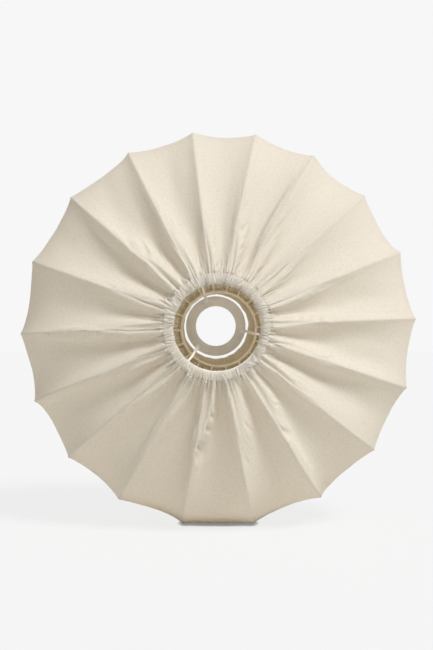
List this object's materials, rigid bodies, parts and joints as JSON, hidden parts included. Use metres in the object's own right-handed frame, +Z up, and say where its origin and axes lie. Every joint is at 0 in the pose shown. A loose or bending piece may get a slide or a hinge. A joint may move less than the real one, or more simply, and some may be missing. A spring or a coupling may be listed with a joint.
{
  "type": "lamp shade",
  "caption": "Round flattened-sphere fabric lamp shade, gathered over a welded wire frame with a recessed lamp-holder ring",
  "frame": {"origin": "on the shade's axis, midway between its two wire rings", "axes": "Y along the shade's axis with -Y out of the fitter end, +Z up as the shade stands on its rim, +X to the right seen from the fitter end"},
  "size_m": [0.4458, 0.2304, 0.4411],
  "materials": {
    "frame_paint": "satin off-white powder coat on steel wire",
    "fitter_paint": "satin off-white powder coat on pressed steel",
    "natural_cloth": "matt unbleached plain weave with small dark flecks",
    "elastic": "matt ribbed elastic tape"
  },
  "bodies": {
    "root": {"front_ring": "frame_paint", "back_ring": "frame_paint", "rib_01": "frame_paint", "rib_02": "frame_paint", "rib_03": "frame_paint", "rib_04": "frame_paint", "rib_05": "frame_paint", "rib_06": "frame_paint", "rib_07": "frame_paint", "rib_08": "frame_paint", "rib_09": "frame_paint", "rib_10": "frame_paint", "rib_11": "frame_paint", "rib_12": "frame_paint", "rib_13": "frame_paint", "rib_14": "frame_paint", "rib_15": "frame_paint", "rib_16": "frame_paint", "rib_17": "frame_paint", "rib_18": "frame_paint", "fitter_ring": "fitter_paint", "fitter_arm_1": "frame_paint", "fitter_arm_2": "frame_paint", "fitter_arm_3": "frame_paint", "cover": "natural_cloth", "front_elastic": "elastic", "back_elastic": "elastic"}
  },
  "joints": []
}
